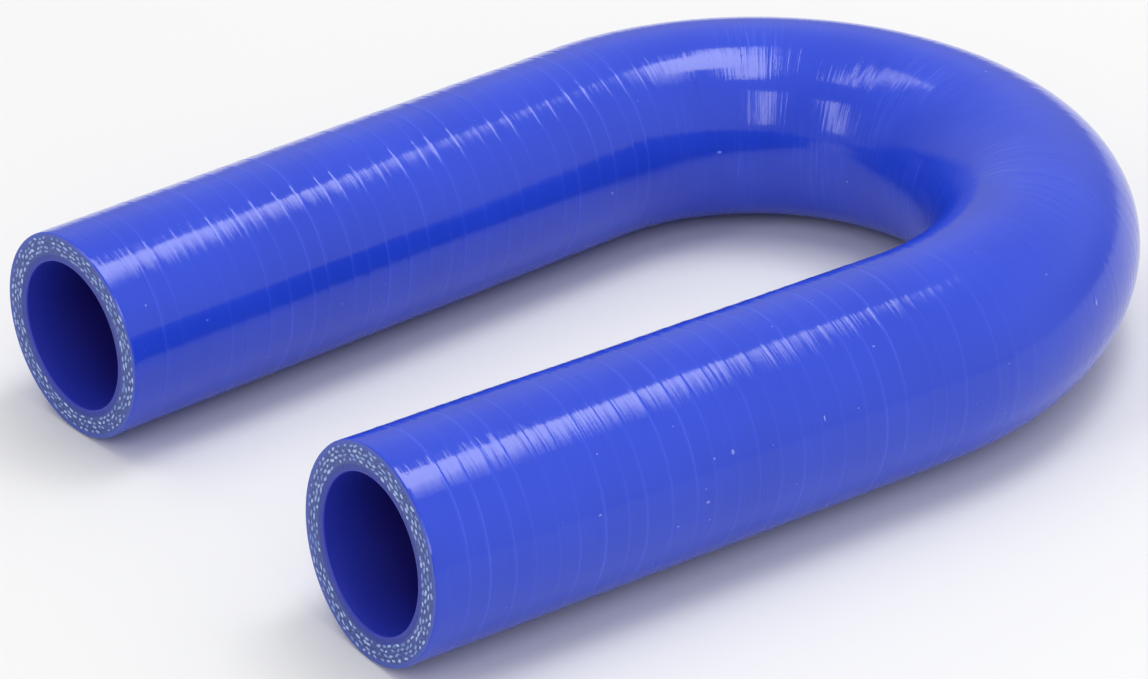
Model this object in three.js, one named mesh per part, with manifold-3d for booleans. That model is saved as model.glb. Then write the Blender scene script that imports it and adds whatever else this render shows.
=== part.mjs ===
// Preformed silicone coolant hose: one tube bent back on itself, with two plain cut ends.
// Millimetres and degrees, +Z up. It lies flat, its legs along X and its bend towards +X,
// and the origin is on the surface that it lies on, under the middle of its bounding box.

import * as THREE from 'three';
import { mergeVertices } from 'three/addons/utils/BufferGeometryUtils.js';
import Module from 'manifold-3d';

// Section of the tube
const boreDiameter = 25;
const wallThickness = 5;

// Centreline, from the near cut end to the far one: a leg, an easy bend that runs into
// a tighter one, and the other leg, which leans in a little past parallel
const nearLegLength = 102;
const easyBendRadius = 58;
const easyBendAngle = 45;
const tightBendRadius = 45;
const tightBendAngle = 140;
const farLegLength = 109;

// The ends are cut by hand. A slanted face stands out at its lower edge and looks up a little.
const nearCutSlant = 3.3;
const farCutSlant = 0;

// Fineness of the mesh. An arc gets two sides for each segment asked for.
const sectionSides = 40;
const sidesPerArcSegment = 2;
const bendStepAngle = 5;
const legSteps = 4;

const outerRadius = boreDiameter / 2 + wallThickness;

// How far the sweep goes past the middle of a slanted cut, so that the cut has wall to go through
function cutAllowance(slant) {
  return slant === 0 ? 0 : outerRadius * Math.tan(Math.abs(THREE.MathUtils.degToRad(slant))) + 1;
}

// Walks along the centreline in the XY plane and keeps a station at every step
class Centreline extends THREE.Curve {
  constructor(start, heading) {
    super();
    this.stations = [];
    this.end = start.clone();
    this.heading = heading;
    this.keepStation();
  }

  direction() {
    return new THREE.Vector3(Math.cos(this.heading), Math.sin(this.heading), 0);
  }

  keepStation() {
    this.stations.push({ point: this.end.clone(), tangent: this.direction() });
  }

  straight(length, steps) {
    for (let i = 0; i < steps; i += 1) {
      this.end.addScaledVector(this.direction(), length / steps);
      this.keepStation();
    }
  }

  leftBend(radius, angle) {
    const steps = Math.ceil(angle / bendStepAngle);
    const turn = THREE.MathUtils.degToRad(angle) / steps;
    const chord = 2 * radius * Math.sin(turn / 2);
    for (let i = 0; i < steps; i += 1) {
      this.heading += turn / 2;
      this.end.addScaledVector(this.direction(), chord);
      this.heading += turn / 2;
      this.keepStation();
    }
  }

  stationAt(u) {
    return this.stations[Math.round(u * (this.stations.length - 1))];
  }

  getPoint(u, target = new THREE.Vector3()) {
    return target.copy(this.stationAt(u).point);
  }

  getPointAt(u, target) {
    return this.getPoint(u, target);
  }

  getTangentAt(u, target = new THREE.Vector3()) {
    return target.copy(this.stationAt(u).tangent);
  }
}

function hoseCentreline() {
  const start = new THREE.Vector3(-nearLegLength - cutAllowance(nearCutSlant), 0, 0);
  const line = new Centreline(start, 0);
  line.straight(nearLegLength + cutAllowance(nearCutSlant), legSteps);
  line.leftBend(easyBendRadius, easyBendAngle);
  line.leftBend(tightBendRadius, tightBendAngle);
  line.straight(farLegLength + cutAllowance(farCutSlant), legSteps);
  return line;
}

// The wall's section: the outside with the bore as a hole
function wallSection() {
  const section = new THREE.Shape();
  section.absarc(0, 0, outerRadius, 0, 2 * Math.PI, false);
  const bore = new THREE.Path();
  bore.absarc(0, 0, boreDiameter / 2, 0, 2 * Math.PI, true);
  section.holes.push(bore);
  return section;
}

// Joins the sweep's triangles at their shared corners, which leaves one closed surface
function closedSurface(geometry) {
  geometry.deleteAttribute('normal');
  geometry.deleteAttribute('uv');
  return mergeVertices(geometry, 1e-4);
}

function sweptTube(line) {
  const geometry = new THREE.ExtrudeGeometry(wallSection(), {
    steps: line.stations.length - 1,
    curveSegments: sectionSides / sidesPerArcSegment,
    extrudePath: line,
  });
  return closedSurface(geometry);
}

// The offcut of a slanted end: a block past the cut, wider than the tube, turned to the slant.
// The heading is the leg's own, out of the end.
function offcut(middle, heading, slant) {
  const depth = 2 * cutAllowance(slant);
  const width = 3 * outerRadius;
  const block = new THREE.BoxGeometry(depth, width, width);
  block.translate(depth / 2, 0, 0);
  block.rotateY(-THREE.MathUtils.degToRad(slant));
  block.rotateZ(heading);
  block.translate(middle.x, middle.y, middle.z);
  return closedSurface(block);
}

function solidOf(geometry, wasm) {
  return new wasm.Manifold(new wasm.Mesh({
    numProp: 3,
    vertProperties: geometry.attributes.position.array,
    triVerts: Uint32Array.from(geometry.index.array),
  }));
}

function cutEnds(tube, line, wasm) {
  const nearEnd = { station: line.stations.at(0), turn: Math.PI, slant: nearCutSlant };
  const farEnd = { station: line.stations.at(-1), turn: 0, slant: farCutSlant };
  let solid = solidOf(tube, wasm);
  for (const { station, turn, slant } of [nearEnd, farEnd].filter((end) => end.slant !== 0)) {
    const heading = Math.atan2(station.tangent.y, station.tangent.x) + turn;
    const outwards = new THREE.Vector3(Math.cos(heading), Math.sin(heading), 0);
    const middle = station.point.clone().addScaledVector(outwards, -cutAllowance(slant));
    solid = solid.subtract(solidOf(offcut(middle, heading, slant), wasm));
  }
  const mesh = solid.getMesh();
  const cut = new THREE.BufferGeometry();
  cut.setAttribute('position', new THREE.BufferAttribute(mesh.vertProperties, 3));
  cut.setIndex(new THREE.BufferAttribute(mesh.triVerts, 1));
  return cut;
}

// Puts the hose down on its underside, centred over the origin
function layDown(mesh) {
  mesh.geometry.computeBoundingBox();
  const box = mesh.geometry.boundingBox;
  const centre = box.getCenter(new THREE.Vector3());
  mesh.position.set(-centre.x, -centre.y, -box.min.z);
}

const wasm = await Module();
wasm.setup();

const centreline = hoseCentreline();
const hose = new THREE.Mesh(
  cutEnds(sweptTube(centreline), centreline, wasm),
  new THREE.MeshStandardMaterial({ color: 0x2f49d8, roughness: 0.28, metalness: 0 }),
);
hose.name = 'hose';
hose.geometry.computeVertexNormals();
layDown(hose);

const group = new THREE.Group();
group.add(hose);

export default group;
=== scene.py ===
import math

import bmesh
import bpy
from mathutils import Matrix, Vector


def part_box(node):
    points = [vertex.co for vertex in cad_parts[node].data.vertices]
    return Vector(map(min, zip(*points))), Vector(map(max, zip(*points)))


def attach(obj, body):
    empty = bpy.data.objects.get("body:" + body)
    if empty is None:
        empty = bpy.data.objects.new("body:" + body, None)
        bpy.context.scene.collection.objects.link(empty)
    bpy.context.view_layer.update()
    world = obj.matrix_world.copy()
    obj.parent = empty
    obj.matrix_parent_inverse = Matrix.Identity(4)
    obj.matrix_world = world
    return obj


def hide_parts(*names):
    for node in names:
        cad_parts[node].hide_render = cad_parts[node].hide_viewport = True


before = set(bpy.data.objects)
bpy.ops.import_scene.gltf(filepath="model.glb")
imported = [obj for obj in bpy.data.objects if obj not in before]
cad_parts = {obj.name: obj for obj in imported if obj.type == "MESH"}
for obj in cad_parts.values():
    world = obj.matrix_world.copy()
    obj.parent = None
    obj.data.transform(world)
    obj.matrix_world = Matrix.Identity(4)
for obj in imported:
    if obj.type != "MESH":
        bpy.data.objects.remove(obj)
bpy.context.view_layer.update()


# Hose wall. The real piece is silicone rubber with four plies of fabric in it, wound round a
# bent former, bound with tape and cured. The tape leaves fine ridges on the outside, and both
# ends are sawn off plain once the former is out.
hose_low, hose_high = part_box("hose")
outer_radius = (hose_high.z - hose_low.z) / 2
wall_thickness = 0.005
bore_radius = outer_radius - wall_thickness
near_leg_length = 0.102
easy_bend_radius = 0.058
easy_bend_angle = math.radians(45)
tight_bend_radius = 0.045
tight_bend_angle = math.radians(140)
far_leg_length = 0.109
near_cut_slant = math.radians(3.3)
slant_reach = 0.02
former_step = 0.001


def put_in_scene(name, data):
    """A new object at the origin, which shows the data given."""
    made = bpy.data.objects.new(name, data)
    bpy.context.scene.collection.objects.link(made)
    return made


def former_line():
    """The line that the bent former follows, from the near cut to the far one."""
    stretches = [
        (near_leg_length, 0.0),
        (easy_bend_radius * easy_bend_angle, easy_bend_angle),
        (tight_bend_radius * tight_bend_angle, tight_bend_angle),
        (far_leg_length, 0.0),
    ]
    point = Vector((0, 0, 0))
    heading = 0.0
    points = [point.copy()]
    for length, turn in stretches:
        steps = round(length / former_step)
        for _ in range(steps):
            heading += turn / steps / 2
            point += Vector((math.cos(heading), math.sin(heading), 0)) * (length / steps)
            heading += turn / steps / 2
            points.append(point.copy())
    furthest = max(p.x for p in points)
    shift = Vector((hose_high.x - outer_radius - furthest, hose_low.y + outer_radius, outer_radius))
    curve = bpy.data.curves.new("former_line", "CURVE")
    curve.dimensions = "3D"
    spline = curve.splines.new("POLY")
    spline.points.add(len(points) - 1)
    for end, place in zip(spline.points, points):
        end.co = (*(place + shift), 1)
    return put_in_scene("former_line", curve), [p + shift for p in points]


edge_rounding = 0.0003
edge_steps = 3
sides_round_hose = 80
outside_step = 0.001
bore_step = 0.003
outside_face = 0
cut_face = 1
bore_face = 2


def wall_outline(length):
    """The wall cut lengthwise, as (along, radius, surface), round the outside and back through
    the bore."""
    def rounded(along, radius, start, surface):
        for i in range(edge_steps):
            turn = start - (i + 0.5) / edge_steps * math.pi / 2
            yield along + edge_rounding * math.cos(turn), radius + edge_rounding * math.sin(turn), surface

    inset = length - edge_rounding
    outside = round((inset - edge_rounding) / outside_step)
    inside = round((inset - edge_rounding) / bore_step)
    for i in range(outside + 1):
        yield edge_rounding + (inset - edge_rounding) * i / outside, outer_radius, outside_face
    yield from rounded(inset, outer_radius - edge_rounding, math.pi / 2, outside_face)
    yield length, outer_radius - edge_rounding, cut_face
    yield length, bore_radius + edge_rounding, bore_face
    yield from rounded(inset, bore_radius + edge_rounding, 0, bore_face)
    for i in range(inside + 1):
        yield inset - (inset - edge_rounding) * i / inside, bore_radius, bore_face
    yield from rounded(edge_rounding, bore_radius + edge_rounding, -math.pi / 2, bore_face)
    yield 0, bore_radius + edge_rounding, cut_face
    yield 0, outer_radius - edge_rounding, outside_face
    yield from rounded(edge_rounding, outer_radius - edge_rounding, -math.pi, outside_face)


def straight_wall(length):
    """The wall before it is bent: a straight tube along X, with its top at +Z."""
    outline = list(wall_outline(length))
    corners = []
    for along, radius, _ in outline:
        for k in range(sides_round_hose):
            turn = 2 * math.pi * k / sides_round_hose
            corners.append((along, radius * math.sin(turn), radius * math.cos(turn)))
    faces = []
    surfaces = []
    for i, (_, _, surface) in enumerate(outline):
        here = i * sides_round_hose
        there = (i + 1) % len(outline) * sides_round_hose
        for k in range(sides_round_hose):
            beside = (k + 1) % sides_round_hose
            faces.append((here + k, there + k, there + beside, here + beside))
            surfaces.append(surface)
    mesh = bpy.data.meshes.new("hose_wall")
    mesh.from_pydata(corners, [], faces)
    mesh.attributes.new("surface", "INT", "FACE").data.foreach_set("value", surfaces)
    shell = bmesh.new()
    shell.from_mesh(mesh)
    bmesh.ops.recalc_face_normals(shell, faces=shell.faces)
    shell.to_mesh(mesh)
    shell.free()
    return mesh


def feed(tree, value, socket):
    """Fills an input with a value or with another node's output."""
    if isinstance(value, bpy.types.NodeSocket):
        tree.links.new(value, socket)
    else:
        socket.default_value = value


def add_node(tree, kind, inputs=None, **settings):
    """Adds a node, sets it up and fills its inputs."""
    made = tree.nodes.new(kind)
    for name, value in settings.items():
        setattr(made, name, value)
    for key, value in (inputs or {}).items():
        feed(tree, value, made.inputs[key])
    return made


def sum_up(tree, operation, *values):
    """One Math node. Its values are numbers or outputs."""
    return add_node(tree, "ShaderNodeMath", dict(enumerate(values)), operation=operation).outputs[0]


def vector_sum(tree, operation, *values):
    """One Vector Math node. Its last value is its scale where the operation has one."""
    made = add_node(tree, "ShaderNodeVectorMath", operation=operation)
    for i, value in enumerate(values):
        feed(tree, value, made.inputs["Scale"] if operation == "SCALE" and i == 1 else made.inputs[i])
    return made.outputs["Value"] if operation in ("LENGTH", "DOT_PRODUCT") else made.outputs["Vector"]


def ramp(tree, value, low, high, start=0.0, end=1.0, smooth=False):
    """start at low and before, end at high and past it."""
    inputs = {"Value": value, "From Min": low, "From Max": high, "To Min": start, "To Max": end}
    kind = "SMOOTHSTEP" if smooth else "LINEAR"
    return add_node(tree, "ShaderNodeMapRange", inputs, interpolation_type=kind).outputs["Result"]


def noise(tree, place, scale=1.0, detail=2.0):
    """A soft random value between 0 and 1 at each place."""
    inputs = {"Vector": place, "Scale": scale, "Detail": detail}
    return add_node(tree, "ShaderNodeTexNoise", inputs).outputs[0]


def noise_along(tree, number):
    """The same along one number."""
    inputs = {"W": number, "Scale": 1.0, "Detail": 1.0}
    return add_node(tree, "ShaderNodeTexNoise", inputs, noise_dimensions="1D").outputs[0]


def named_vector(tree, x, y, z):
    return add_node(tree, "ShaderNodeCombineXYZ", {0: x, 1: y, 2: z}).outputs[0]


def parts_of(tree, vector):
    return add_node(tree, "ShaderNodeSeparateXYZ", {0: vector}).outputs


def position(tree):
    return add_node(tree, "GeometryNodeInputPosition").outputs[0]


def moved(tree, geometry, **how):
    return add_node(tree, "GeometryNodeSetPosition", {"Geometry": geometry, **how}).outputs[0]


def stored(tree, geometry, name, value, data_type="FLOAT"):
    """Keeps a value on the geometry's points under a name that the materials read."""
    inputs = {"Geometry": geometry, "Name": name, "Value": value}
    made = add_node(tree, "GeometryNodeStoreNamedAttribute", inputs, data_type=data_type, domain="POINT")
    return made.outputs[0]


def new_tree(name, sockets):
    """A Geometry Nodes tree with the inputs named in sockets, and one geometry out."""
    tree = bpy.data.node_groups.new(name, "GeometryNodeTree")
    for label, kind in sockets:
        tree.interface.new_socket(label, in_out="INPUT", socket_type=kind)
    tree.interface.new_socket("Geometry", in_out="OUTPUT", socket_type="NodeSocketGeometry")
    return tree, add_node(tree, "NodeGroupInput").outputs


sunk_least = 0.00007
swell_depth = 0.00022
swell_size = 0.022


def swollen(tree, wall, depth_range):
    """Lets the outside of the wall sink in here and there, as hand winding leaves it."""
    place = position(tree)
    _, y, z = parts_of(tree, place)
    outwards = named_vector(tree, 0.0, y, z)
    radius = vector_sum(tree, "LENGTH", outwards)
    dents = noise(tree, vector_sum(tree, "SCALE", place, 1 / swell_size), detail=1.0)
    outside = ramp(tree, radius, outer_radius - edge_rounding, outer_radius - edge_rounding / 2)
    depth = sum_up(tree, "MULTIPLY", sum_up(tree, "MULTIPLY_ADD", dents, depth_range, sunk_least), outside)
    outwards = vector_sum(tree, "NORMALIZE", outwards)
    inwards = vector_sum(tree, "SCALE", outwards, sum_up(tree, "MULTIPLY", depth, -1.0))
    return moved(tree, wall, Offset=inwards)


# The ridge's section, corner by corner: the distance along the hose, and the share of its height.
# In order they are the crest, the steep side and its foot, the root inside the wall, and the foot
# of the gentle side and that side.
ridge_section = (
    (0.0, 1.0),
    (0.00014, 0.60),
    (0.00036, 0.0),
    (-0.0004, -1.5),
    (-0.0020, 0.0),
    (-0.0010, 0.16),
    (-0.00035, 0.50),
)
ridge_height = 0.000048
ridge_margin = 0.0025
ridge_tuck = 0.000004
ridge_end_tuck = 4 * ridge_tuck
ridge_end_turn = 0.35
ridge_in_bend = 0.3
bend_reach = 0.018
root_rise = -0.1
tape_pitch = 0.0041
tape_wander = 0.0036
wanders_per_turn = 0.62
pulls_per_turn = 2.6
first_pull = 40.0
pull_range = (0.32, 0.66)
ridge_where_slack = 0.55


def lookup(tree, number, values):
    """The value that stands at a place in a short list."""
    made = add_node(tree, "GeometryNodeIndexSwitch", data_type="FLOAT")
    for _ in values[len(made.index_switch_items):]:
        made.index_switch_items.new()
    tree.links.new(number, made.inputs["Index"])
    for i, value in enumerate(values):
        made.inputs[i + 1].default_value = value
    return made.outputs[0]


def ridge_fade(tree, length, along, turn, whole_turns):
    """The ridge dies out at both ends of the winding. Round the bends the tape was stretched, and
    its ridge is lower."""
    into_bend = ramp(tree, along, near_leg_length, near_leg_length + bend_reach, smooth=True)
    bend_end = sum_up(tree, "SUBTRACT", length, far_leg_length)
    out_of_bend = ramp(tree, along, bend_end, sum_up(tree, "SUBTRACT", bend_end, bend_reach), smooth=True)
    in_bend = ramp(tree, sum_up(tree, "MULTIPLY", into_bend, out_of_bend), 0.0, 1.0, 1.0, ridge_in_bend)
    last_turn = sum_up(tree, "SUBTRACT", whole_turns, ridge_end_turn)
    fade_in = ramp(tree, turn, 0.0, ridge_end_turn, smooth=True)
    fade_out = ramp(tree, turn, whole_turns, last_turn, smooth=True)
    return sum_up(tree, "MULTIPLY", sum_up(tree, "MULTIPLY", fade_in, fade_out), in_bend)


def tape_ridges(tree, length, pitch, height):
    """The ridge that the tape's edge leaves: one long strand that winds round the wall. It is
    made as a thin bar, whose height runs from the start of the winding to its end and whose
    corners, in order, are those of ridge_section."""
    run = sum_up(tree, "SUBTRACT", length, 2 * ridge_margin)
    turns = sum_up(tree, "DIVIDE", run, pitch)
    segments = sum_up(tree, "ROUND", sum_up(tree, "MULTIPLY", turns, float(sides_round_hose)))
    whole_turns = sum_up(tree, "DIVIDE", segments, float(sides_round_hose))
    bar = add_node(tree, "GeometryNodeMeshCylinder", {
        "Vertices": len(ridge_section), "Side Segments": segments, "Radius": 1.0, "Depth": 1.0,
    }, fill_type="NGON").outputs["Mesh"]
    share = sum_up(tree, "ADD", parts_of(tree, position(tree))[2], 0.5)
    index = add_node(tree, "GeometryNodeInputIndex").outputs[0]
    corner = sum_up(tree, "MODULO", index, float(len(ridge_section)))
    beside = lookup(tree, corner, [offset for offset, _ in ridge_section])
    crest = lookup(tree, corner, [rise for _, rise in ridge_section])
    turn = sum_up(tree, "MULTIPLY", share, whole_turns)
    angle = sum_up(tree, "MULTIPLY", turn, 2 * math.pi)
    wander = noise_along(tree, sum_up(tree, "MULTIPLY", turn, wanders_per_turn))
    pull = noise_along(tree, sum_up(tree, "ADD", sum_up(tree, "MULTIPLY", turn, pulls_per_turn), first_pull))
    along = sum_up(tree, "MULTIPLY_ADD", share, run, ridge_margin)
    fade = ridge_fade(tree, length, along, turn, whole_turns)
    strength = sum_up(tree, "MULTIPLY", ramp(tree, pull, *pull_range, ridge_where_slack, 1.0), fade)
    weakened = ramp(tree, crest, root_rise, 0.0, 1.0, strength)
    rise = sum_up(tree, "MULTIPLY", sum_up(tree, "MULTIPLY", crest, height), weakened)
    along = sum_up(tree, "MULTIPLY_ADD", sum_up(tree, "SUBTRACT", wander, 0.5), tape_wander, along)
    along = sum_up(tree, "ADD", along, beside)
    tuck = ramp(tree, fade, 0.0, ridge_in_bend, ridge_end_tuck, ridge_tuck)
    radius = sum_up(tree, "SUBTRACT", sum_up(tree, "ADD", rise, outer_radius), tuck)
    wound = named_vector(
        tree,
        along,
        sum_up(tree, "MULTIPLY", radius, sum_up(tree, "SINE", angle)),
        sum_up(tree, "MULTIPLY", radius, sum_up(tree, "COSINE", angle)),
    )
    height_share = sum_up(tree, "MULTIPLY", sum_up(tree, "MAXIMUM", crest, 0.0), strength)
    return moved(tree, stored(tree, bar, "ridge", height_share), Position=wound)


def bent(tree, straight, former):
    """Carries the straight wall onto the former's line, and slants its near end."""
    x, y, z = parts_of(tree, position(tree))
    nearness = ramp(tree, x, 0.0, slant_reach, math.tan(near_cut_slant), 0.0)
    along = sum_up(tree, "MULTIPLY_ADD", z, nearness, x)
    line = add_node(tree, "GeometryNodeObjectInfo", {"Object": former}).outputs["Geometry"]
    sample = add_node(tree, "GeometryNodeSampleCurve", {"Curves": line, "Length": along}, mode="LENGTH")
    before_start = sum_up(tree, "MINIMUM", along, 0.0)
    start = vector_sum(tree, "SCALE", sample.outputs["Tangent"], before_start)
    leftwards = vector_sum(tree, "CROSS_PRODUCT", (0, 0, 1), sample.outputs["Tangent"])
    upwards = named_vector(tree, 0.0, 0.0, z)
    across = vector_sum(tree, "ADD", vector_sum(tree, "SCALE", leftwards, y), upwards)
    middle = vector_sum(tree, "ADD", sample.outputs["Position"], start)
    return moved(tree, straight, Position=vector_sum(tree, "ADD", middle, across))


sharp_edge = math.radians(20)


def shaded_smooth(tree, geometry):
    inputs = {"Geometry": geometry, "Shade Smooth": True}
    return add_node(tree, "GeometryNodeSetShadeSmooth", inputs, domain="FACE").outputs[0]


def smooth_but_sharp_edges(tree, geometry):
    inputs = {"A": add_node(tree, "GeometryNodeInputMeshEdgeAngle").outputs[0], "B": sharp_edge}
    crease = add_node(tree, "FunctionNodeCompare", inputs, operation="GREATER_THAN").outputs[0]
    inputs = {"Geometry": shaded_smooth(tree, geometry), "Selection": crease, "Shade Smooth": False}
    return add_node(tree, "GeometryNodeSetShadeSmooth", inputs, domain="EDGE").outputs[0]


def realized(tree, geometry):
    return add_node(tree, "GeometryNodeRealizeInstances", {0: geometry}).outputs[0]


def on_surface(tree, number):
    """Picks the faces of one surface: outside, cut face or bore."""
    named = add_node(tree, "GeometryNodeInputNamedAttribute", {"Name": "surface"}, data_type="INT")
    inputs = {2: named.outputs["Attribute"], 3: number}
    return add_node(tree, "FunctionNodeCompare", inputs, data_type="INT", operation="EQUAL").outputs[0]


def wall_tree(materials):
    """Winds the ridge round the straight wall, bends both, and gives each surface its material."""
    tree, given = new_tree("Wind and bend the hose", [
        ("Geometry", "NodeSocketGeometry"),
        ("Former", "NodeSocketObject"),
        ("Length", "NodeSocketFloat"),
        ("Tape pitch", "NodeSocketFloat"),
        ("Ridge height", "NodeSocketFloat"),
        ("Swell depth", "NodeSocketFloat"),
    ])
    ridges = tape_ridges(tree, given["Length"], given["Tape pitch"], given["Ridge height"])
    joined = add_node(tree, "GeometryNodeJoinGeometry")
    for part in (ridges, given["Geometry"]):
        tree.links.new(part, joined.inputs[0])
    wall = swollen(tree, joined.outputs[0], given["Swell depth"])
    wall = stored(tree, wall, "straight_place", position(tree), "FLOAT_VECTOR")
    wall = realized(tree, smooth_but_sharp_edges(tree, bent(tree, wall, given["Former"])))
    for number, material in materials.items():
        inputs = {"Geometry": wall, "Selection": on_surface(tree, number), "Material": material}
        wall = add_node(tree, "GeometryNodeSetMaterial", inputs).outputs[0]
    add_node(tree, "NodeGroupOutput", {0: wall})
    return tree


def run_nodes(piece, tree, values):
    """Runs a Geometry Nodes tree on a piece and keeps the result as its plain mesh."""
    modifier = piece.modifiers.new(tree.name, "NODES")
    modifier.node_group = tree
    for item in tree.interface.items_tree:
        if item.in_out == "INPUT" and item.name in values:
            modifier[item.identifier] = values[item.name]
    shape = piece.evaluated_get(bpy.context.evaluated_depsgraph_get())
    mesh = bpy.data.meshes.new_from_object(shape)
    piece.modifiers.remove(modifier)
    piece.data = mesh
    mesh.name = piece.name


# Each kind of mark is a noise: its waves per metre, along the straight hose and both ways across
# it, and its detail.
fine_lines = ((2600, 70, 70), 3.0)
broad_lines = ((620, 30, 30), 2.0)
orange_peel = ((330, 330, 330), 1.0)
tone_clouds = ((60, 60, 60), 2.0)
line_patches = ((45, 45, 45), 1.0)
fine_line_share = 0.35
patch_range = (0.4, 0.65)
lines_between_patches = 0.5


def winding_marks():
    """Shader group. What winding under tape leaves on silicone: fine lines across the hose, a
    faint orange peel and slow changes of tone. Its place is the one before the hose was bent."""
    tree = bpy.data.node_groups.new("Winding marks", "ShaderNodeTree")
    for name, kind in (("Place", "Vector"), ("Lines", "Float"), ("Peel", "Float")):
        tree.interface.new_socket(name, in_out="INPUT", socket_type="NodeSocket" + kind)
    for name in ("Height", "Tone", "Scuff"):
        tree.interface.new_socket(name, in_out="OUTPUT", socket_type="NodeSocketFloat")
    given = add_node(tree, "NodeGroupInput").outputs

    def mark(waves, detail):
        return noise(tree, vector_sum(tree, "MULTIPLY", given["Place"], waves), detail=detail)

    fine = mark(*fine_lines)
    patches = ramp(tree, mark(*line_patches), *patch_range, lines_between_patches, 1.0)
    both = sum_up(tree, "ADD", sum_up(tree, "MULTIPLY", fine, fine_line_share), mark(*broad_lines))
    striped = sum_up(tree, "MULTIPLY", sum_up(tree, "MULTIPLY", both, patches), given["Lines"])
    height = sum_up(tree, "MULTIPLY_ADD", mark(*orange_peel), given["Peel"], striped)
    add_node(tree, "NodeGroupOutput", {"Height": height, "Tone": mark(*tone_clouds), "Scuff": fine})
    return tree


def new_material(name):
    material = bpy.data.materials.new(name)
    material.use_nodes = True
    tree = material.node_tree
    return material, tree, tree.nodes["Principled BSDF"]


def attribute(tree, name):
    return add_node(tree, "ShaderNodeAttribute", attribute_name=name).outputs


def blend_colours(tree, share, first, second):
    return add_node(tree, "ShaderNodeMix", {0: share, 6: first, 7: second}, data_type="RGBA").outputs[2]


def relief(tree, shader, height, depth):
    """Gives a finish its fine relief."""
    bump = add_node(tree, "ShaderNodeBump", {"Height": height, "Distance": depth, "Strength": 1.0})
    tree.links.new(bump.outputs[0], shader.inputs["Normal"])


# Nearly all values of a noise lie in this span.
noise_span = (0.3, 0.7)

marks_depth = 0.000012
lines_on_leg = 8.0
lines_in_bend = 8.5
peel_outside = 1.2
outside_roughness = (0.09, 0.13)
silicone_ior = 1.5
pigment = (0.017, 0.056, 0.59, 1)
pigment_deep = (0.015, 0.049, 0.54, 1)
# Painted highlight: a lighter blue for the ridges' crests, standing in for the thin light lines where the
# crests catch the light.
painted_ridge_highlight = (0.035, 0.086, 0.69, 1)
ridge_crest_only = 3.0
pigment_strained = (0.075, 0.135, 0.74, 1)
strained_most = 0.45
strained_lines = (0.54, 0.72)
strained_patches = (0.42, 0.58)
puckered_side = (-0.4 * outer_radius, 0.6 * outer_radius)
strained_outer_side = 0.1
marks = winding_marks()


def outside_silicone(length):
    """The glossy outside. Its fine lines are strongest in the bend, where the tape was stretched.
    On the inner side of the bend, where it puckered, it has left faint pale marks too. The crests
    of the tape ridges are painted a lighter blue, which is a painted highlight."""
    material, tree, shader = new_material("silicone_outside")
    found = add_node(tree, "ShaderNodeGroup", node_tree=marks)
    place = attribute(tree, "straight_place")["Vector"]
    tree.links.new(place, found.inputs["Place"])
    along, inwards, _ = parts_of(tree, place)
    bend_end = length - far_leg_length
    into_bend = ramp(tree, along, near_leg_length, near_leg_length + 2 * bend_reach, smooth=True)
    out_of_bend = ramp(tree, along, bend_end, bend_end - bend_reach, smooth=True)
    stretched = sum_up(tree, "MULTIPLY", into_bend, out_of_bend)
    tree.links.new(ramp(tree, stretched, 0.0, 1.0, lines_on_leg, lines_in_bend), found.inputs["Lines"])
    found.inputs["Peel"].default_value = peel_outside
    tone = found.outputs["Tone"]
    colour = blend_colours(tree, ramp(tree, tone, *noise_span), pigment_deep, pigment)
    # Painted highlight: the ridges' crests are tinted towards a lighter blue.
    crest = sum_up(tree, "POWER", attribute(tree, "ridge")["Fac"], ridge_crest_only)
    colour = blend_colours(tree, crest, colour, painted_ridge_highlight)
    inner_side = ramp(tree, inwards, *puckered_side, strained_outer_side, 1.0, smooth=True)
    strained = ramp(tree, found.outputs["Scuff"], *strained_lines, 0.0, strained_most)
    strained = sum_up(tree, "MULTIPLY", sum_up(tree, "MULTIPLY", strained, stretched), inner_side)
    strained = sum_up(tree, "MULTIPLY", strained, ramp(tree, tone, *strained_patches))
    tree.links.new(blend_colours(tree, strained, colour, pigment_strained), shader.inputs["Base Color"])
    tree.links.new(ramp(tree, tone, *noise_span, *outside_roughness), shader.inputs["Roughness"])
    shader.inputs["IOR"].default_value = silicone_ior
    relief(tree, shader, found.outputs["Height"], marks_depth)
    return material


liner_share = 0.24
cover_share = 0.79
ply_edge_blur = 0.03
ply_edge_waver = 0.12
cut_liner = (0.018, 0.036, 0.31, 1)
cut_cover = (0.050, 0.088, 0.42, 1)
cut_fabric = (0.028, 0.050, 0.23, 1)
cut_fabric_pale = (0.075, 0.120, 0.40, 1)
cut_grain = 1500.0
cut_depth = 0.00004
cut_roughness = (0.45, 0.6)
thread_grain = 2600.0
thread_range = (0.42, 0.66)
thread_relief = 2.0


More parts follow.
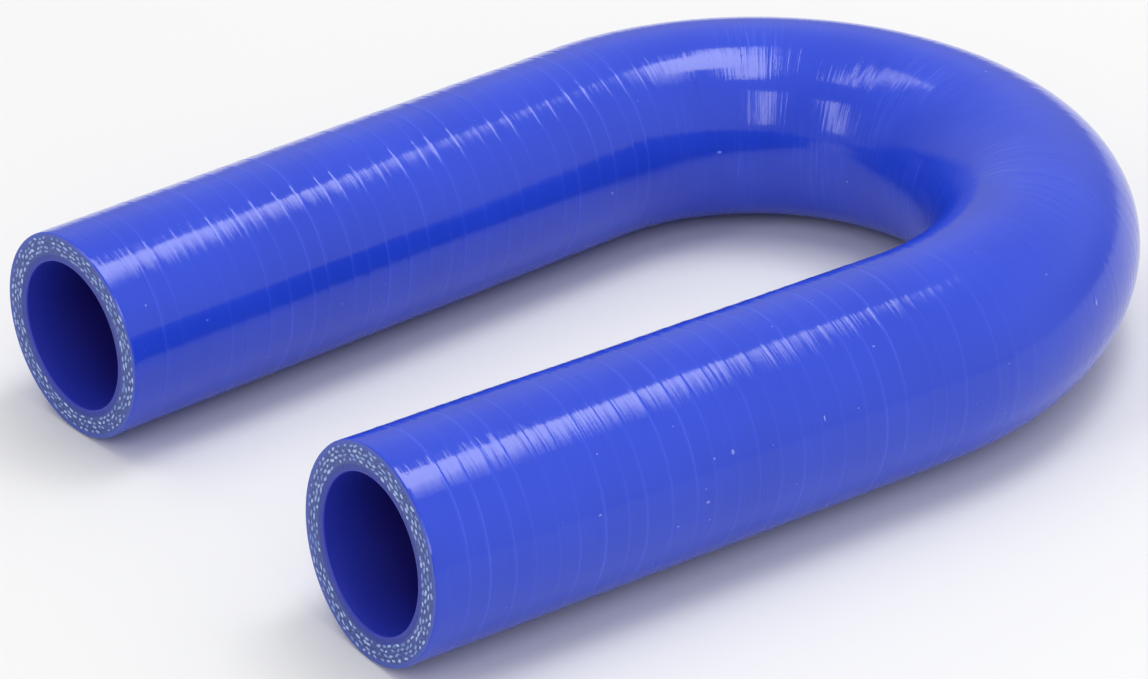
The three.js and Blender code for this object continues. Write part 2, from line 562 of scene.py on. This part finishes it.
def cut_wall():
    """The sawn face: liner, four plies of fabric soaked in silicone, and cover."""
    material, tree, shader = new_material("silicone_cut")
    place = attribute(tree, "straight_place")["Vector"]
    _, y, z = parts_of(tree, place)
    radius = vector_sum(tree, "LENGTH", named_vector(tree, 0.0, y, z))
    share = ramp(tree, radius, bore_radius, outer_radius)
    rough = noise(tree, place, cut_grain, 3.0)
    edge = sum_up(tree, "MULTIPLY_ADD", sum_up(tree, "SUBTRACT", rough, 0.5), ply_edge_waver, share)
    inner = ramp(tree, edge, liner_share - ply_edge_blur, liner_share + ply_edge_blur)
    outer = ramp(tree, edge, cover_share + ply_edge_blur, cover_share - ply_edge_blur)
    fabric = sum_up(tree, "MULTIPLY", inner, outer)
    threads = noise(tree, place, thread_grain)
    woven = blend_colours(tree, ramp(tree, threads, *thread_range), cut_fabric, cut_fabric_pale)
    plain = blend_colours(tree, ramp(tree, share, liner_share, cover_share), cut_liner, cut_cover)
    tree.links.new(blend_colours(tree, fabric, plain, woven), shader.inputs["Base Color"])
    tree.links.new(ramp(tree, rough, *noise_span, *cut_roughness), shader.inputs["Roughness"])
    raised = sum_up(tree, "MULTIPLY", threads, fabric)
    relief(tree, shader, sum_up(tree, "MULTIPLY_ADD", raised, thread_relief, rough), cut_depth)
    return material


# The bore's own blue shows at the cut ends. The darker colour deeper in is painted shade.
bore_mouth = (0.016, 0.030, 0.42, 1)
bore_painted_shade = (0.014, 0.010, 0.20, 1)
bore_roughness = (0.40, 0.50)
lines_in_bore = 0.2
peel_in_bore = 1.0
mouth_depth = 0.014
mouth_waver = 0.3 * mouth_depth


def bore_silicone(length):
    """The bore's own skin, duller than the outside, with painted shade that darkens it away from the cut
    ends.
    """
    material, tree, shader = new_material("silicone_bore")
    place = attribute(tree, "straight_place")["Vector"]
    found = add_node(tree, "ShaderNodeGroup", node_tree=marks)
    tree.links.new(place, found.inputs["Place"])
    found.inputs["Lines"].default_value = lines_in_bore
    found.inputs["Peel"].default_value = peel_in_bore
    along = parts_of(tree, place)[0]
    depth = sum_up(tree, "MINIMUM", along, sum_up(tree, "SUBTRACT", length, along))
    cloud = sum_up(tree, "SUBTRACT", found.outputs["Tone"], 0.5)
    depth = sum_up(tree, "MULTIPLY_ADD", cloud, mouth_waver, depth)
    # Painted shade: from the cut ends the colour darkens into the bore, where little light reaches.
    inside = ramp(tree, depth, 0.0, mouth_depth, smooth=True)
    tree.links.new(blend_colours(tree, inside, bore_mouth, bore_painted_shade), shader.inputs["Base Color"])
    roughness = ramp(tree, found.outputs["Scuff"], *noise_span, *bore_roughness)
    tree.links.new(roughness, shader.inputs["Roughness"])
    relief(tree, shader, found.outputs["Height"], marks_depth)
    return material


former, former_points = former_line()
hose_length = sum((b - a).length for a, b in zip(former_points, former_points[1:]))
hose = put_in_scene("hose_wall", straight_wall(hose_length))
finishes = {
    outside_face: outside_silicone(hose_length),
    cut_face: cut_wall(),
    bore_face: bore_silicone(hose_length),
}
run_nodes(hose, wall_tree(finishes), {
    "Former": former,
    "Length": hose_length,
    "Tape pitch": tape_pitch,
    "Ridge height": ridge_height,
    "Swell depth": swell_depth,
})
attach(hose, "root")
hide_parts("hose")


# Yarn ends. Each ply is a woven fabric, and the saw leaves the ends of its pale yarns showing
# in the cut faces, in four rings. They stand out of the silicone by less than a hair.
ply_count = 4
ends_round_ply = 60
first_ply_radius = bore_radius + 0.00165
ply_gap = 0.00072
ply_stagger = 0.5
ply_waves = 1.6
ply_waver = 0.00022
yarn_half_length = 0.00056
yarn_half_width = 0.00024
yarn_proud = 0.00009
yarn_lengths = (0.6, 1.25)
yarn_widths = (0.75, 1.2)
yarn_heights = (0.5, 1.2)
yarn_shift = 0.26
yarn_jitter = 0.00010
yarn_lean = 0.35
yarns_showing = 0.93
near_yarn_seed = 11
far_yarn_seed = 29
grain_segments = 6
grain_rings = 4


def chance(tree, seed, salt, low, high):
    """A random number for each item. Every use in a tree has its own salt."""
    made = add_node(tree, "FunctionNodeRandomValue", data_type="FLOAT")
    least, most = [s for s in made.inputs if s.type == "VALUE" and s.enabled][:2]
    least.default_value = low
    most.default_value = high
    tree.links.new(sum_up(tree, "ADD", seed, float(salt)), made.inputs["Seed"])
    return [s for s in made.outputs if s.enabled][0]


def grain_ball(tree):
    """The ball of few faces that a yarn end or a speck is flattened from."""
    inputs = {"Segments": grain_segments, "Rings": grain_rings, "Radius": 1.0}
    return add_node(tree, "GeometryNodeMeshUVSphere", inputs).outputs["Mesh"]


def made_of(tree, geometry, material):
    """Ends a tree with smooth faces of one material."""
    inputs = {"Geometry": shaded_smooth(tree, realized(tree, geometry)), "Material": material}
    add_node(tree, "NodeGroupOutput", {0: add_node(tree, "GeometryNodeSetMaterial", inputs).outputs[0]})


def yarn_tree(material):
    """Sets the yarn ends in rings round the middle of a cut face, each with its own lean and size."""
    tree, given = new_tree("Yarn ends in a cut face", [
        ("Geometry", "NodeSocketGeometry"),
        ("Cut middle", "NodeSocketVector"),
        ("Cut normal", "NodeSocketVector"),
        ("Plies", "NodeSocketInt"),
        ("Ends round a ply", "NodeSocketInt"),
        ("First ply radius", "NodeSocketFloat"),
        ("Ply gap", "NodeSocketFloat"),
        ("Seed", "NodeSocketInt"),
    ])
    normal = given["Cut normal"]
    seed = given["Seed"]
    count = sum_up(tree, "MULTIPLY", given["Plies"], given["Ends round a ply"])
    dots = add_node(tree, "GeometryNodePoints", {"Count": count}).outputs[0]
    index = add_node(tree, "GeometryNodeInputIndex").outputs[0]
    ply = sum_up(tree, "MODULO", index, given["Plies"])
    step = sum_up(tree, "FLOOR", sum_up(tree, "DIVIDE", index, given["Plies"]))
    step = sum_up(tree, "MULTIPLY_ADD", ply, ply_stagger, step)
    step = sum_up(tree, "ADD", step, chance(tree, seed, 1, -yarn_shift, yarn_shift))
    angle = sum_up(tree, "MULTIPLY", sum_up(tree, "DIVIDE", step, given["Ends round a ply"]), 2 * math.pi)
    sine = sum_up(tree, "SINE", angle)
    cosine = sum_up(tree, "COSINE", angle)
    drift = noise(tree, named_vector(tree, sine, cosine, seed), ply_waves, 0.0)
    radius = sum_up(tree, "MULTIPLY_ADD", ply, given["Ply gap"], given["First ply radius"])
    radius = sum_up(tree, "ADD", radius, ramp(tree, drift, *noise_span, -ply_waver, ply_waver))
    radius = sum_up(tree, "ADD", radius, chance(tree, seed, 2, -yarn_jitter, yarn_jitter))
    sideways = vector_sum(tree, "NORMALIZE", vector_sum(tree, "CROSS_PRODUCT", (0, 0, 1), normal))
    upwards = vector_sum(tree, "CROSS_PRODUCT", normal, sideways)
    sideways_part = vector_sum(tree, "SCALE", sideways, sine)
    outwards = vector_sum(tree, "ADD", sideways_part, vector_sum(tree, "SCALE", upwards, cosine))
    sideways_part = vector_sum(tree, "SCALE", sideways, cosine)
    onwards = vector_sum(tree, "SUBTRACT", sideways_part, vector_sum(tree, "SCALE", upwards, sine))
    leaning = vector_sum(tree, "SCALE", outwards, chance(tree, seed, 3, -yarn_lean, yarn_lean))
    lying = vector_sum(tree, "ADD", onwards, leaning)
    place = vector_sum(tree, "ADD", given["Cut middle"], vector_sum(tree, "SCALE", outwards, radius))
    dots = moved(tree, dots, Position=place)
    dots = stored(tree, dots, "yarn_tone", chance(tree, seed, 4, 0.0, 1.0))
    turned = add_node(tree, "FunctionNodeAxesToRotation", {
        "Primary Axis": lying, "Secondary Axis": normal,
    }, primary_axis="X", secondary_axis="Z").outputs[0]
    size = named_vector(
        tree,
        sum_up(tree, "MULTIPLY", chance(tree, seed, 5, *yarn_lengths), yarn_half_length),
        sum_up(tree, "MULTIPLY", chance(tree, seed, 6, *yarn_widths), yarn_half_width),
        sum_up(tree, "MULTIPLY", chance(tree, seed, 7, *yarn_heights), yarn_proud),
    )
    inputs = {"A": chance(tree, seed, 8, 0.0, 1.0), "B": yarns_showing}
    showing = add_node(tree, "FunctionNodeCompare", inputs, operation="LESS_THAN").outputs[0]
    ends = add_node(tree, "GeometryNodeInstanceOnPoints", {
        "Points": dots,
        "Selection": showing,
        "Instance": grain_ball(tree),
        "Rotation": turned,
        "Scale": size,
    }).outputs[0]
    made_of(tree, ends, material)
    return tree


yarn_pale = (0.47, 0.60, 0.88, 1)
yarn_dull = (0.16, 0.25, 0.58, 1)
yarn_roughness = (0.6, 0.8)
yarn_depth = 0.00003
fibre_grain = 6000.0
fibre_gaps = (0.3, 0.6)
fibre_gap_share = 0.5


def yarn_material():
    """Pale fibres with blue silicone between them, some yarns more soaked than others."""
    material, tree, shader = new_material("yarn")
    place = add_node(tree, "ShaderNodeTexCoord").outputs["Object"]
    fibres = noise(tree, place, fibre_grain)
    paleness = ramp(tree, fibres, *fibre_gaps, fibre_gap_share, 1.0)
    share = sum_up(tree, "MULTIPLY", attribute(tree, "yarn_tone")["Fac"], paleness)
    tree.links.new(blend_colours(tree, share, yarn_dull, yarn_pale), shader.inputs["Base Color"])
    tree.links.new(ramp(tree, fibres, *noise_span, *yarn_roughness), shader.inputs["Roughness"])
    relief(tree, shader, fibres, yarn_depth)
    return material


near_normal = Vector((-math.cos(near_cut_slant), 0, math.sin(near_cut_slant)))
far_normal = (former_points[-1] - former_points[-2]).normalized()
yarns = yarn_tree(yarn_material())
for name, middle, normal, seed in (
    ("near_yarn_ends", former_points[0], near_normal, near_yarn_seed),
    ("far_yarn_ends", former_points[-1], far_normal, far_yarn_seed),
):
    ends = put_in_scene(name, bpy.data.meshes.new(name))
    run_nodes(ends, yarns, {
        "Cut middle": middle,
        "Cut normal": normal,
        "Plies": ply_count,
        "Ends round a ply": ends_round_ply,
        "First ply radius": first_ply_radius,
        "Ply gap": ply_gap,
        "Seed": seed,
    })
    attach(ends, "root")


# Specks. Dust and crumbs of silicone that were caught under the tape or fell on it since, stuck
# to the outside here and there.
speck_density = 2600.0
speck_seed = 7
speck_small = 0.00010
speck_large = 0.00026
speck_rarity = 2.5
speck_lengths = (0.7, 1.5)
speck_widths = (0.7, 1.1)
speck_flatness = 0.22


def speck_tree(material):
    """Scatters crumbs over the outside of the hose, most of them small."""
    tree, given = new_tree("Specks on the hose", [
        ("Geometry", "NodeSocketGeometry"),
        ("Hose", "NodeSocketObject"),
        ("Density", "NodeSocketFloat"),
        ("Seed", "NodeSocketInt"),
    ])
    seed = given["Seed"]
    body = add_node(tree, "GeometryNodeObjectInfo", {"Object": given["Hose"]}).outputs["Geometry"]
    scattered = add_node(tree, "GeometryNodeDistributePointsOnFaces", {
        "Mesh": body,
        "Selection": on_surface(tree, outside_face),
        "Density": given["Density"],
        "Seed": seed,
    }, distribute_method="RANDOM")
    dots = stored(tree, scattered.outputs["Points"], "speck_tone", chance(tree, seed, 1, 0.0, 1.0))
    rare = sum_up(tree, "POWER", chance(tree, seed, 2, 0.0, 1.0), speck_rarity)
    width = ramp(tree, rare, 0.0, 1.0, speck_small, speck_large)
    size = named_vector(
        tree,
        sum_up(tree, "MULTIPLY", width, chance(tree, seed, 3, *speck_lengths)),
        sum_up(tree, "MULTIPLY", width, chance(tree, seed, 4, *speck_widths)),
        sum_up(tree, "MULTIPLY", width, speck_flatness),
    )
    crumbs = add_node(tree, "GeometryNodeInstanceOnPoints", {
        "Points": dots,
        "Instance": grain_ball(tree),
        "Rotation": scattered.outputs["Rotation"],
        "Scale": size,
    }).outputs[0]
    made_of(tree, crumbs, material)
    return tree


crumb_blue = (0.03, 0.08, 0.72, 1)
dust_pale = (0.30, 0.38, 0.74, 1)
dust_tones = (0.6, 0.95)
dust_grain = 9000.0
dust_gaps = (0.3, 0.6)
dust_gap_share = 0.6
rough_tones = (0.5, 0.9)
speck_roughness = (0.35, 0.8)


def speck_material():
    """Crumbs are the hose's own blue and smooth, dust is pale and dull."""
    material, tree, shader = new_material("specks")
    tone = attribute(tree, "speck_tone")["Fac"]
    place = add_node(tree, "ShaderNodeTexCoord").outputs["Object"]
    grain = ramp(tree, noise(tree, place, dust_grain), *dust_gaps, dust_gap_share, 1.0)
    pale = sum_up(tree, "MULTIPLY", ramp(tree, tone, *dust_tones), grain)
    tree.links.new(blend_colours(tree, pale, crumb_blue, dust_pale), shader.inputs["Base Color"])
    tree.links.new(ramp(tree, tone, *rough_tones, *speck_roughness), shader.inputs["Roughness"])
    return material


speck_finish = speck_material()
specks = put_in_scene("specks", bpy.data.meshes.new("specks"))
run_nodes(specks, speck_tree(speck_finish), {"Hose": hose, "Density": speck_density, "Seed": speck_seed})
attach(specks, "root")


# Flecks. A few larger crumbs and flecks of lint stand out from the rest, stuck to the outside.
# Each is given by its place along the hose, its angle from the top towards the outside of the
# bend, its length and width, and its tone.
flecks_seen = (
    (0.0295, 75, 0.0007, 0.0003, 0.9),
    (0.0435, 97, 0.0004, 0.0004, 0.7),
    (0.0490, 89, 0.0007, 0.0005, 0.8),
    (0.0495, 100, 0.0004, 0.0003, 0.9),
    (0.0510, 68, 0.0005, 0.0004, 0.7),
    (0.0545, 68, 0.0006, 0.0009, 0.8),
    (0.0720, 68, 0.0003, 0.0010, 0.8),
    (0.1260, 71, 0.0006, 0.0018, 1.0),
    (0.1860, -102, 0.0004, 0.0003, 0.3),
    (0.2365, -85, 0.0013, 0.0006, 0.75),
    (0.2670, -91, 0.0005, 0.0005, 0.8),
)
fleck_height = 0.00006
fleck_segments = 8
fleck_rings = 6


def straight_flecks():
    """The flecks on the hose before it is bent."""
    shell = bmesh.new()
    tones = []
    for along, angle, length, width, tone in flecks_seen:
        turn = math.radians(angle)
        place = Matrix.Translation((along, -outer_radius * math.sin(turn), outer_radius * math.cos(turn)))
        size = Matrix.Diagonal((length / 2, width / 2, fleck_height, 1))
        bmesh.ops.create_uvsphere(
            shell,
            u_segments=fleck_segments,
            v_segments=fleck_rings,
            radius=1,
            matrix=place @ Matrix.Rotation(turn, 4, "X") @ size,
        )
        tones += [tone] * (len(shell.verts) - len(tones))
    mesh = bpy.data.meshes.new("flecks")
    shell.to_mesh(mesh)
    shell.free()
    mesh.attributes.new("speck_tone", "FLOAT", "POINT").data.foreach_set("value", tones)
    return mesh


def fleck_tree(material):
    """Takes the flecks through the same dents and the same bend as the wall."""
    tree, given = new_tree("Bend the flecks with the hose", [
        ("Geometry", "NodeSocketGeometry"),
        ("Former", "NodeSocketObject"),
        ("Swell depth", "NodeSocketFloat"),
    ])
    sunk = swollen(tree, given["Geometry"], given["Swell depth"])
    made_of(tree, bent(tree, sunk, given["Former"]), material)
    return tree


flecks = put_in_scene("flecks", straight_flecks())
run_nodes(flecks, fleck_tree(speck_finish), {"Former": former, "Swell depth": swell_depth})
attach(flecks, "root")

bpy.data.objects.remove(former)


# Camera. It stands level in front of the two cut ends, to their left, and looks down on them.
# Its place and lens were fitted to the outline and the cut faces in the photograph.
camera_azimuth = math.radians(-35.796)
camera_elevation = math.radians(28.261)
camera_distance = 0.70426
camera_target = Vector((-0.02239, -0.01057, outer_radius))
camera_lens = 138.69
camera_sensor = 36
nearest_seen = 0.01
furthest_seen = 50


def direction(azimuth, elevation):
    """From the hose towards a place round it. Azimuth 0 is at -Y and 90 at +X, in radians."""
    flat = math.cos(elevation)
    return Vector((math.sin(azimuth) * flat, -math.cos(azimuth) * flat, math.sin(elevation)))


def facing(out):
    """The turn of a camera or lamp that stands out there and looks back at the hose."""
    return (-out).to_track_quat("-Z", "Y").to_euler()


camera_data = bpy.data.cameras.new("camera")
camera_data.sensor_width = camera_sensor
camera_data.lens = camera_lens
camera_data.clip_start = nearest_seen
camera_data.clip_end = furthest_seen
camera = put_in_scene("camera", camera_data)
camera_back = direction(camera_azimuth, camera_elevation)
camera.location = camera_target + camera_back * camera_distance
camera.rotation_euler = facing(camera_back)
bpy.context.scene.camera = camera


# Floor. A plain pale table top that the hose lies on, matt and wide enough to fill the view from
# any side.
floor_half = 6.0
floor_pale = (0.77, 0.77, 0.77, 1)
floor_shade = (0.75, 0.75, 0.75, 1)
floor_clouds = 3.0
floor_roughness = 0.9
floor_specular = 0.2


def floor_material():
    material, tree, shader = new_material("floor")
    cloud = noise(tree, add_node(tree, "ShaderNodeTexCoord").outputs["Object"], floor_clouds)
    tree.links.new(blend_colours(tree, cloud, floor_shade, floor_pale), shader.inputs["Base Color"])
    shader.inputs["Roughness"].default_value = floor_roughness
    shader.inputs["Specular IOR Level"].default_value = floor_specular
    return material


floor_mesh = bpy.data.meshes.new("floor")
floor_corners = [(x * floor_half, y * floor_half, 0) for x, y in ((-1, -1), (1, -1), (1, 1), (-1, 1))]
floor_mesh.from_pydata(floor_corners, [], [(0, 1, 2, 3)])
floor_mesh.materials.append(floor_material())
floor = put_in_scene("floor", floor_mesh)


# Studio light. A wide softbox hangs over the hose, made of abutting lamps that dim at its right
# end, with a narrow lamp behind it, a tall panel behind the camera and one to its left. The room
# is brightest in front on the right, darker to the left, and darkest low down behind on the right.
softbox_height = 1.1

# Each lamp's front, back, left and right edge, as shares of the softbox's height, and its radiance
softbox_lamps = (
    (0.24, 0.30, 0.30, 0.40, 5.6),
    (0.15, 0.24, 0.22, 0.41, 5.6),
    (0.10, 0.15, 0.13, 0.61, 5.6),
    (0.10, 0.15, 0.61, 0.69, 2.6),
    (0.04, 0.10, 0.07, 0.60, 5.6),
    (0.04, 0.10, 0.60, 0.68, 2.6),
    (-0.03, 0.04, 0.01, 0.57, 5.6),
    (-0.03, 0.04, 0.57, 0.65, 2.4),
    (-0.10, -0.03, -0.05, 0.54, 5.6),
    (-0.10, -0.03, 0.54, 0.62, 2.7),
    (-0.17, -0.10, -0.10, 0.51, 5.5),
    (-0.17, -0.10, 0.51, 0.59, 2.7),
    (-0.24, -0.17, -0.13, 0.12, 5.5),
    (-0.24, -0.17, 0.36, 0.55, 3.9),
    (-0.31, -0.24, -0.13, 0.08, 5.5),
    (-0.31, -0.24, 0.36, 0.54, 2.5),
    (-0.37, -0.31, -0.12, 0.00, 5.5),
    (-0.40, -0.31, 0.36, 0.52, 1.4),
)
lamp_distance = 1.6
lamp_radiance = 4.4
rear_lamp_place = Vector((-0.20, 0.45, 1))
rear_lamp_length = 0.80
rear_lamp_width = 0.12
rear_lamp_turn = math.radians(50)
panel_width = 9

# Each panel's name, its azimuth, and its lower and upper edge, in degrees
panels = (("panel_left", -36.5, 16, 55), ("panel_right", -85.5, 12, 46))


def lamp(name, middle, width, height, radiance):
    """An area lamp that faces down, of a brightness that doesn't depend on its size."""
    made = bpy.data.lights.new(name, "AREA")
    made.shape = "RECTANGLE"
    made.size = width
    made.size_y = height
    made.energy = radiance * math.pi * width * height
    placed = put_in_scene(name, made)
    placed.location = middle
    placed.visible_camera = False
    return placed


def size_at_lamps(angle):
    """How large a panel is that fills an angle, in degrees, at the lamps' distance."""
    return 2 * lamp_distance * math.tan(math.radians(angle / 2))


for i, (front, back, left, right, radiance) in enumerate(softbox_lamps):
    middle = Vector(((left + right) / 2, (front + back) / 2, 1)) * softbox_height
    width = (right - left) * softbox_height
    lamp(f"softbox_{i}", middle, width, (back - front) * softbox_height, radiance)

rear_size = (rear_lamp_length * lamp_distance, rear_lamp_width * lamp_distance)
rear = lamp("strip", rear_lamp_place * lamp_distance, *rear_size, lamp_radiance)
rear.rotation_euler = (0, 0, rear_lamp_turn)

for name, azimuth, low, high in panels:
    out = direction(math.radians(azimuth), math.radians((low + high) / 2))
    width = size_at_lamps(panel_width)
    panel = lamp(name, out * lamp_distance, width, size_at_lamps(high - low), lamp_radiance)
    panel.rotation_euler = facing(out)

room_above = 0.68
room_front = 0.84
room_left = 0.50
room_dark = 0.42

# Each side's azimuth in degrees, and how far a direction points to it where it starts and is full
front_side = (28, 0.1, 0.85)
left_side = (-90, 0.2, 0.8)
dark_side = (131, 0.1, 0.8)
low_down = (0.45, 0.05)

world = bpy.data.worlds.new("studio")
world.use_nodes = True
bpy.context.scene.world = world
room = world.node_tree
towards = add_node(room, "ShaderNodeTexCoord").outputs["Generated"]


def room_side(azimuth, start, full):
    """How far a direction lies to one side of the room, from 0 at start to 1 at full."""
    side = direction(math.radians(azimuth), 0)
    return ramp(room, vector_sum(room, "DOT_PRODUCT", towards, tuple(side)), start, full, smooth=True)


lowness = ramp(room, parts_of(room, towards)[2], *low_down, smooth=True)
dark = sum_up(room, "MULTIPLY", room_side(*dark_side), lowness)
level = ramp(room, room_side(*front_side), 0.0, 1.0, room_above, room_front)
level = ramp(room, room_side(*left_side), 0.0, 1.0, level, room_left)
level = ramp(room, dark, 0.0, 1.0, level, room_dark)
background = room.nodes["Background"]
room.links.new(named_vector(room, level, level, level), background.inputs["Color"])
background.inputs["Strength"].default_value = 1.0

bpy.context.scene.view_settings.view_transform = "Standard"
